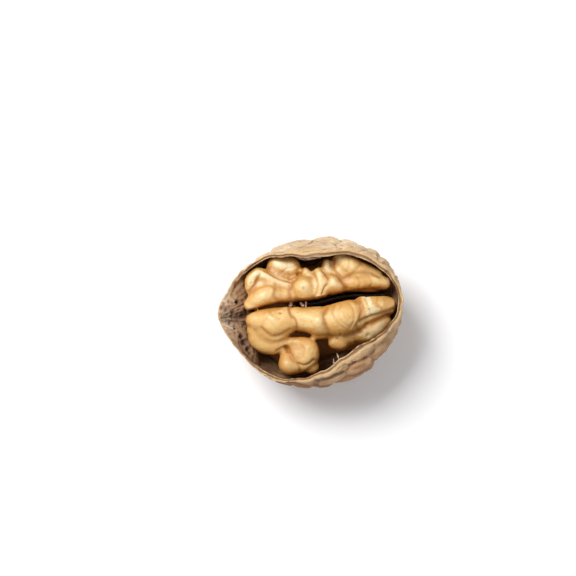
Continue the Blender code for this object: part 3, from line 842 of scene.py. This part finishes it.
def build_kernel(material):
    bm = bmesh.new()
    bm.from_mesh(lobe(FAR_RIDGES, FAR_BODY, 1))
    bm.from_mesh(lobe(NEAR_RIDGES, NEAR_BODY, -1))
    bm.from_mesh(balls(stacks(BRIDGE, 1)))
    for vert in bm.verts:
        vert.co = seat(vert.co)
    mesh = fused(mesh_of(bm, "kernel_skin"), SEED_VOXEL, 2)
    places = positions(mesh)
    outward = directions(mesh)
    depth, line = carve_creases(places, outward)
    swell = 0.5 + 0.5 * waves(places, SWELL_SIZE, 2.4)
    wrinkle = waves(places, WRINKLE_SIZE, 5.9)
    depth += SWELL_DEPTH * swell + WRINKLE_DEPTH * wrinkle
    set_positions(mesh, places - outward * depth[:, None])
    peeled = np.zeros(len(places))
    for half_width, points in PEELED:
        away = far_from_line(places, points) / (half_width * MM) + 0.5 * waves(places, 0.7 * MM, 9.1)
        peeled = np.maximum(peeled, smooth_steps(6.0 * (1.0 - away)))
    peeled *= outward[:, 2] > 0.1
    add_values(mesh, "crease", line)
    add_values(mesh, "peeled", peeled)
    # How deep each point lies in a hollow: it places painted shade in the hollows and painted highlight on the crests
    add_values(mesh, "hollow", hollowness(mesh, 10, 0.22 * MM))
    # How far each point faces away from straight up: it places painted shade on the undersides and keeps the painted
    # highlight to the tops
    add_values(mesh, "under", 1.0 - directions(mesh)[:, 2])
    return add_piece("kernel_skin", mesh, material, "kernel", "kernel")


def build_septum(material):
    """A thin plate that follows the slot, from the cavity's floor up to a torn edge."""
    bm = bmesh.new()
    bmesh.ops.create_grid(bm, x_segments=SEPTUM_COLUMNS, y_segments=SEPTUM_ROWS, size=0.5)
    for vert in bm.verts:
        x = SEPTUM_START + (vert.co.x + 0.5) * (SEPTUM_END - SEPTUM_START)
        along = (x - MIDDLE_X) / SEAT.half_length
        floor = GIRTH - SEAT.keel * math.sqrt(1.0 - along * along) + SEED_GAP
        torn = SEPTUM_TORN * noise.noise(Vector((x / SEPTUM_TEAR_LENGTH, 0.3, 0.7)))
        torn -= 0.6 * MM * abs(noise.noise(Vector((x / (0.5 * MM), 1.3, 0.2))))
        top = SEPTUM_TOP + torn - SEPTUM_FALL * smooth_step(along)
        vert.co = Vector((x, slot_y(x), floor + (vert.co.y + 0.5) * (top - floor)))
        vert.co.y += 0.10 * MM * noise.noise(vert.co / (0.8 * MM))
    mesh = with_modifiers(mesh_of(bm, "septum"), (
        ("SOLIDIFY", {"thickness": SEPTUM_THICK, "offset": 0.0}),
    ))
    return add_piece("septum_torn", mesh, material, "septum", "septum")


def flake(bm, trees, x, y, heading, length, width, tilt, curl):
    """A thin curled scrap with torn edges, which falls until it touches what is under it."""
    made = bmesh.ops.create_grid(bm, x_segments=FLAKE_STEPS, y_segments=FLAKE_STEPS // 2, size=1.0)
    turn = Matrix.Rotation(math.radians(heading), 3, "Z") @ Matrix.Rotation(math.radians(-tilt), 3, "Y")
    for vert in made["verts"]:
        along, across, _ = vert.co
        ragged = 1.0 + 0.6 * noise.noise(Vector((2.2 * along, math.copysign(1.0, across), x + y)))
        taper = math.sqrt(max(1.0 - along**4, 0.04))
        spot = Vector((
            0.5 * length * math.sin(curl * along) / curl,
            0.5 * width * across * taper * ragged,
            0.5 * length * (1.0 - math.cos(curl * along)) / curl + 0.2 * width * across * across,
        ))
        vert.co = turn @ spot * MM + Vector((x * MM, y * MM, FLAKE_START))
    falls = [
        hit[3]
        for vert in made["verts"]
        for hit in (tree.ray_cast(vert.co, Vector((0.0, 0.0, -1.0))) for tree in trees)
        if hit[0]
    ]
    bmesh.ops.translate(bm, verts=made["verts"], vec=(0.0, 0.0, -min(falls)))


def build_flakes(material, pieces):
    graph = bpy.context.evaluated_depsgraph_get()
    trees = [BVHTree.FromObject(piece, graph) for piece in pieces]
    bm = bmesh.new()
    for settings in FLAKES:
        flake(bm, trees, *settings)
    mesh = with_modifiers(mesh_of(bm, "flakes"), (
        ("SOLIDIFY", {"thickness": FLAKE_THICK, "offset": 1.0}),
    ))
    return add_piece("skin_flakes", mesh, material, "kernel")


def strip(bm, first, last, width, rise, narrowing, lean):
    """Thin lining with its root in the wall under the rim and its free edge in the cavity."""
    made = bmesh.ops.create_grid(bm, x_segments=STRIP_COLUMNS, y_segments=STRIP_ROWS, size=0.5)
    for vert in made["verts"]:
        along = vert.co.x
        off = vert.co.y + 0.5
        spread = (last - first) * along * (1.0 - narrowing * off)
        angle = math.radians((first + last) / 2 + spread + lean * off * off)
        wall = inner_wall(angle, STRIP_SHARE)[0]
        inward = Vector((-wall.x, -wall.y, 0.0)).normalized()
        teeth = noise.noise(Vector((STRIP_TEETH * along, first, 0.1)))
        reach = off * (width * MM * (0.6 + 0.4 * math.cos(math.pi * along) + 0.5 * teeth) + STRIP_ROOT)
        vert.co = wall + inward * (reach - STRIP_ROOT)
        vert.co.z += rise * MM * off * off + 0.15 * MM * noise.noise(vert.co / (0.9 * MM))


def build_strips(name, material, strips):
    bm = bmesh.new()
    for settings in strips:
        strip(bm, *settings)
    mesh = with_modifiers(mesh_of(bm, name), (
        ("SOLIDIFY", {"thickness": FLAKE_THICK, "offset": 0.0}),
    ))
    return add_piece(name, mesh, material, "shell")


class Shader:
    """A material with one Principled shader, and short words for the nodes that lead to it."""

    def __init__(self, name):
        self.material = bpy.data.materials.new(name)
        self.material.use_nodes = True
        self.nodes = self.material.node_tree.nodes
        self.links = self.material.node_tree.links
        self.principled = self.nodes["Principled BSDF"]
        coordinates = self.nodes.new("ShaderNodeTexCoord")
        self.place = coordinates.outputs["Object"]

    def set(self, **values):
        """Plain values of the Principled shader, given as words joined by underscores."""
        for name, value in values.items():
            self.principled.inputs[name.replace("_", " ")].default_value = value

    def feed(self, socket, source):
        if isinstance(source, bpy.types.NodeSocket):
            self.links.new(source, socket)
        elif isinstance(source, tuple) and len(source) == 3 and socket.type == "RGBA":
            socket.default_value = (*source, 1.0)
        else:
            socket.default_value = source

    def mark(self, name):
        node = self.nodes.new("ShaderNodeAttribute")
        node.attribute_name = name
        return node.outputs["Fac"]

    def stretched(self, scale):
        node = self.nodes.new("ShaderNodeMapping")
        node.inputs["Scale"].default_value = scale
        self.links.new(self.place, node.inputs["Vector"])
        return node.outputs["Vector"]

    def axis(self, name):
        node = self.nodes.new("ShaderNodeSeparateXYZ")
        self.links.new(self.place, node.inputs["Vector"])
        return node.outputs[name]

    def noise(self, per_metre, detail=4.0, roughness=0.55, distortion=0.0, stretch=(1.0, 1.0, 1.0)):
        node = self.nodes.new("ShaderNodeTexNoise")
        self.links.new(self.stretched(stretch), node.inputs["Vector"])
        node.inputs["Scale"].default_value = per_metre
        node.inputs["Detail"].default_value = detail
        node.inputs["Roughness"].default_value = roughness
        node.inputs["Distortion"].default_value = distortion
        return node.outputs["Fac"]

    def specks(self, per_metre, stretch=(1.0, 1.0, 1.0)):
        node = self.nodes.new("ShaderNodeTexVoronoi")
        self.links.new(self.stretched(stretch), node.inputs["Vector"])
        node.inputs["Scale"].default_value = per_metre
        return node.outputs["Distance"]

    def ranged(self, source, low, high, to_low=0.0, to_high=1.0):
        node = self.nodes.new("ShaderNodeMapRange")
        node.interpolation_type = "SMOOTHSTEP"
        self.feed(node.inputs["Value"], source)
        node.inputs["From Min"].default_value = low
        node.inputs["From Max"].default_value = high
        node.inputs["To Min"].default_value = to_low
        node.inputs["To Max"].default_value = to_high
        return node.outputs["Result"]

    def mathed(self, operation, first, second):
        node = self.nodes.new("ShaderNodeMath")
        node.operation = operation
        self.feed(node.inputs[0], first)
        self.feed(node.inputs[1], second)
        return node.outputs[0]

    def mixed(self, share, first, second, blend="MIX"):
        node = self.nodes.new("ShaderNodeMix")
        node.data_type = "RGBA"
        node.blend_type = blend
        self.feed(node.inputs["Factor"], share)
        self.feed(node.inputs[6], first)
        self.feed(node.inputs[7], second)
        return node.outputs[2]

    def bumped(self, *layers):
        """Adds bumps, each a height source and its depth in metres."""
        normal = None
        for source, depth in layers:
            node = self.nodes.new("ShaderNodeBump")
            node.inputs["Strength"].default_value = 1.0
            node.inputs["Distance"].default_value = depth
            self.links.new(source, node.inputs["Height"])
            if normal is not None:
                self.links.new(normal, node.inputs["Normal"])
            normal = node.outputs["Normal"]
        self.links.new(normal, self.principled.inputs["Normal"])


def shell_material():
    """Dry wood: tan outside with dark cracks, pale where it broke, dark brown within, with painted shade on the near,
    lower side and in the pits, scars and holes.
    """
    shader = Shader("shell_wood")
    patches = shader.noise(170.0, detail=3.0, stretch=(0.6, 1.0, 1.0))
    grain = shader.noise(900.0, detail=5.0, roughness=0.6, stretch=(0.22, 1.0, 1.0))
    fine = shader.noise(3200.0, detail=3.0)
    tan = shader.mixed(shader.ranged(patches, 0.35, 0.65), (0.54, 0.34, 0.175), (0.79, 0.59, 0.37))
    tan = shader.mixed(shader.ranged(grain, 0.35, 0.75), tan, (0.86, 0.70, 0.49))
    smudge = shader.ranged(shader.noise(240.0, detail=4.0, roughness=0.65), 0.56, 0.70)
    tan = shader.mixed(shader.mathed("MULTIPLY", smudge, 0.55), tan, (0.24, 0.13, 0.085))
    specks = shader.ranged(shader.specks(1100.0), 0.12, 0.05)
    tan = shader.mixed(shader.mathed("MULTIPLY", specks, 0.5), tan, (0.15, 0.08, 0.04))
    blunt = shader.ranged(shader.axis("X"), 0.010, 0.018)
    tan = shader.mixed(shader.mathed("MULTIPLY", blunt, 0.5), tan, (0.58, 0.36, 0.16))
    # Painted shade: the near side (towards -Y) is multiplied darker, and the band below the rim on that side darker
    # still, as if turned away from the light
    near = shader.ranged(shader.mathed("ADD", shader.axis("Y"), shader.mathed("MULTIPLY", patches, 0.008)), 0.001, -0.008)
    low = shader.ranged(shader.mathed("ADD", shader.axis("Z"), shader.mathed("MULTIPLY", grain, 0.003)), 0.0215, 0.0175)
    tan = shader.mixed(shader.mathed("MULTIPLY", near, 0.75), tan, (0.72, 0.52, 0.34), "MULTIPLY")
    shaded = shader.mathed("MULTIPLY", low, shader.mathed("MULTIPLY", near, 0.85))
    tan = shader.mixed(shaded, tan, (0.58, 0.46, 0.42), "MULTIPLY")
    # Painted shade in the outside's pits and scars and in the spongy end's holes
    tan = shader.mixed(shader.mathed("MULTIPLY", shader.mark("painted_recess_shade"), 0.7), tan, (0.13, 0.06, 0.045))
    crack = shader.mark("crack")
    broken = shader.ranged(patches, 0.42, 0.58, 0.10, 0.60)
    tan = shader.mixed(shader.mathed("MULTIPLY", crack, broken), tan, (0.21, 0.115, 0.06))
    pale = shader.mixed(grain, (0.58, 0.34, 0.15), (0.82, 0.59, 0.33))
    pale = shader.mixed(shader.mathed("MULTIPLY", crack, 0.9), pale, (0.20, 0.10, 0.045))
    streaks = shader.noise(700.0, detail=4.0, stretch=(0.18, 1.0, 1.0))
    dark = shader.mixed(shader.ranged(streaks, 0.35, 0.7), (0.23, 0.125, 0.055), (0.50, 0.30, 0.15))
    crumb = shader.noise(420.0, detail=6.0, roughness=0.7, stretch=(0.45, 1.0, 1.0))
    spongy = shader.mixed(shader.ranged(crumb, 0.32, 0.66), (0.33, 0.17, 0.08), (0.68, 0.43, 0.225))
    # Painted shade: the spongy end darkens on its near side (towards -Y)
    beside = shader.ranged(shader.axis("Y"), 0.0005, -0.0035)
    spongy = shader.mixed(shader.mathed("MULTIPLY", beside, 0.8), spongy, (0.25, 0.13, 0.06))
    tip = shader.ranged(shader.axis("X"), -0.0150, -0.0185)
    grey = shader.mixed(shader.ranged(grain, 0.35, 0.65), (0.30, 0.18, 0.11), (0.86, 0.68, 0.50))
    # The torn tip turns pale grey, the fibre's own colour, laid on more strongly towards the far side (+Y) as painted
    # light
    away = shader.ranged(shader.axis("Y"), -0.0030, 0.0, 0.2, 0.75)
    spongy = shader.mixed(shader.mathed("MULTIPLY", tip, away), spongy, grey)
    # Painted shade: the spongy end's fibres, crumbs and holes go nearly black
    spongy = shader.mixed(shader.mark("painted_recess_shade"), spongy, (0.07, 0.035, 0.02))
    colour = shader.mixed(shader.mark("edge"), tan, pale)
    colour = shader.mixed(shader.mark("inside"), colour, dark)
    colour = shader.mixed(shader.mark("sponge"), colour, spongy)
    colour = shader.mixed(shader.mathed("MULTIPLY", shader.ranged(fine, 0.4, 0.7), 0.25), colour, (0.25, 0.15, 0.09))
    shader.feed(shader.principled.inputs["Base Color"], colour)
    shader.feed(shader.principled.inputs["Roughness"], shader.ranged(grain, 0.3, 0.7, 0.62, 0.9))
    shader.bumped((grain, 0.00018), (fine, 0.00006))
    shader.set(Specular_IOR_Level=0.35)
    return shader.material


def kernel_material():
    """Thin golden skin over pale flesh with a waxy gloss, with light and shade painted on: cream highlights on crests
    and up-facing far parts, orange-brown shade in hollows, creases and undersides, and darker low down.
    """
    shader = Shader("kernel_flesh")
    broad = shader.noise(230.0, detail=3.0)
    fine = shader.noise(1500.0, detail=4.0)
    veins = shader.noise(520.0, detail=2.0, distortion=0.6)
    skin = shader.mixed(shader.ranged(broad, 0.35, 0.65), (0.71, 0.40, 0.12), (0.84, 0.58, 0.24))
    # Painted highlight: the crests of the ridges turn cream
    ridge = shader.ranged(shader.mark("hollow"), -0.15, -0.85)
    skin = shader.mixed(shader.mathed("MULTIPLY", ridge, 0.6), skin, (0.87, 0.71, 0.42))
    # Painted shade: on the near side the lower parts turn a darker golden brown, as the light falls from above and
    # beyond
    near = shader.ranged(shader.axis("Y"), 0.004, -0.002, 0.2, 0.85)
    lower = shader.mathed("MULTIPLY", shader.ranged(shader.axis("Z"), 0.0200, 0.0165), near)
    skin = shader.mixed(lower, skin, (0.60, 0.34, 0.10))
    # Painted highlight: the up-facing parts of the far lobe, towards the point (x below 6 mm), turn cream where the
    # light falls
    far = shader.ranged(shader.axis("Y"), 0.0020, 0.0112, 0.0, 0.75)
    left = shader.ranged(shader.axis("X"), 0.0088, 0.0060)
    top = shader.ranged(shader.mark("under"), 0.25, 0.02)
    painted_highlight = shader.mathed("MULTIPLY", shader.mathed("MULTIPLY", far, left), top)
    skin = shader.mixed(painted_highlight, skin, (0.97, 0.82, 0.54))
    # Painted shade: surfaces that face sideways or down turn orange-brown
    under = shader.ranged(shader.mark("under"), 0.05, 0.65)
    skin = shader.mixed(shader.mathed("MULTIPLY", under, 0.85), skin, (0.62, 0.27, 0.04))
    # Painted shade: the hollows darken to orange-brown
    hollow = shader.ranged(shader.mark("hollow"), 0.0, 0.8)
    skin = shader.mixed(shader.mathed("MULTIPLY", hollow, 0.8), skin, (0.52, 0.22, 0.045))
    # Darker along the carved creases and dents: partly the skin's own colour in its folds, partly painted shade
    crease = shader.mark("crease")
    skin = shader.mixed(shader.mathed("MULTIPLY", crease, 0.65), skin, (0.42, 0.17, 0.05))
    line = shader.ranged(shader.mathed("ABSOLUTE", shader.mathed("SUBTRACT", veins, 0.5), 0.0), 0.012, 0.0)
    skin = shader.mixed(shader.mathed("MULTIPLY", line, 0.5), skin, (0.50, 0.26, 0.10))
    specks = shader.ranged(shader.specks(900.0), 0.10, 0.04)
    skin = shader.mixed(shader.mathed("MULTIPLY", specks, 0.45), skin, (0.40, 0.18, 0.06))
    skin = shader.mixed(shader.mathed("MULTIPLY", shader.ranged(fine, 0.45, 0.75), 0.2), skin, (0.62, 0.36, 0.12))
    flesh = shader.mixed(shader.ranged(broad, 0.35, 0.65), (0.80, 0.64, 0.36), (0.90, 0.76, 0.50))
    # Painted shade: the peeled flesh also darkens lower down on the near side
    flesh = shader.mixed(lower, flesh, (0.52, 0.36, 0.15))
    skin = shader.mixed(shader.mark("peeled"), skin, flesh)
    # Painted shade: the lowest parts of the seed, deep in the cavity, turn dark brown
    deep = shader.ranged(shader.axis("Z"), 0.0146, 0.0120)
    skin = shader.mixed(shader.mathed("MULTIPLY", deep, 0.8), skin, (0.24, 0.10, 0.03))
    shader.feed(shader.principled.inputs["Base Color"], skin)
    shader.feed(shader.principled.inputs["Roughness"], shader.ranged(fine, 0.3, 0.7, 0.38, 0.55))
    shader.bumped((fine, 0.00008), (shader.noise(5200.0, detail=2.0), 0.00002))
    shader.set(
        Subsurface_Weight=0.25, Subsurface_Radius=(1.0, 0.45, 0.18), Subsurface_Scale=0.0012,
        Specular_IOR_Level=0.6,
    )
    return shader.material


def septum_material():
    shader = Shader("septum_fibre")
    streaks = shader.noise(900.0, detail=5.0, stretch=(0.3, 1.0, 1.0))
    # Near black: the partition's own dark brown with the slot's shade painted in
    colour = shader.mixed(shader.ranged(streaks, 0.35, 0.7), (0.012, 0.007, 0.005), (0.06, 0.032, 0.018))
    shader.feed(shader.principled.inputs["Base Color"], colour)
    shader.feed(shader.principled.inputs["Roughness"], shader.ranged(streaks, 0.3, 0.7, 0.6, 0.9))
    shader.bumped((streaks, 0.0002))
    return shader.material


def papery_material(name, low, high):
    """Dry skin as thin as paper."""
    shader = Shader(name)
    streaks = shader.noise(2600.0, detail=3.0, stretch=(0.4, 1.0, 1.0))
    shader.feed(shader.principled.inputs["Base Color"], shader.mixed(shader.ranged(streaks, 0.35, 0.65), low, high))
    shader.feed(shader.principled.inputs["Roughness"], shader.ranged(streaks, 0.3, 0.7, 0.4, 0.7))
    shader.bumped((streaks, 0.00005))
    return shader.material


def floor_material():
    shader = Shader("floor")
    shader.set(Base_Color=(0.93, 0.93, 0.94, 1.0), Roughness=0.7)
    return shader.material


def build_floor():
    bm = bmesh.new()
    bmesh.ops.create_grid(bm, x_segments=1, y_segments=1, size=0.6)
    floor = bpy.data.objects.new("floor", mesh_of(bm, "floor"))
    floor.data.materials.append(floor_material())
    bpy.context.scene.collection.objects.link(floor)


def add_light(name, kind, energy, place, size):
    light = bpy.data.objects.new(name, bpy.data.lights.new(name, kind))
    light.data.energy = energy
    light.data.size = size
    light.location = place
    light.rotation_euler = (AIM - Vector(place)).to_track_quat("-Z", "Y").to_euler()
    bpy.context.scene.collection.objects.link(light)


def build_studio():
    world = bpy.data.worlds.new("studio")
    world.use_nodes = True
    background = world.node_tree.nodes["Background"]
    background.inputs["Color"].default_value = (0.97, 0.98, 1.0, 1.0)
    background.inputs["Strength"].default_value = 0.40
    scene = bpy.context.scene
    scene.world = world
    scene.view_settings.view_transform = "Standard"
    add_light("window", "AREA", 2.4, (-0.17, 0.20, 0.45), 0.22)
    add_light("fill", "AREA", 0.5, (0.25, -0.30, 0.40), 0.5)


def build_camera():
    """Looks down on the nut from its near side, turned a little in the plane of the picture."""
    up_plan = Vector((math.sin(ROLL), math.cos(ROLL), 0.0))
    back = math.sin(ELEVATION) * Vector((0, 0, 1)) - math.cos(ELEVATION) * up_plan
    right = Vector((math.cos(ROLL), -math.sin(ROLL), 0.0))
    up = back.cross(right)
    camera = bpy.data.objects.new("camera", bpy.data.cameras.new("camera"))
    camera.data.lens = LENS
    place = AIM + right * AIM_RIGHT + up * AIM_UP + back * DISTANCE
    turn = Matrix((right, up, back)).transposed().to_4x4()
    camera.matrix_world = Matrix.Translation(place) @ turn
    bpy.context.scene.collection.objects.link(camera)
    bpy.context.scene.camera = camera


build_camera()
build_studio()
build_floor()
shell = build_shell(shell_material())
kernel = build_kernel(kernel_material())
septum = build_septum(septum_material())
papery_skin = papery_material("papery_skin", (0.55, 0.32, 0.21), (0.88, 0.70, 0.55))
papery_slivers = papery_material("papery_slivers", (0.22, 0.12, 0.07), (0.60, 0.42, 0.27))
papery_lining = papery_material("papery_lining", (0.14, 0.07, 0.04), (0.40, 0.25, 0.16))
build_flakes(papery_skin, (shell, kernel, septum))
build_strips("lining_slivers", papery_slivers, SLIVERS)
build_strips("lining_strip", papery_lining, LINING)
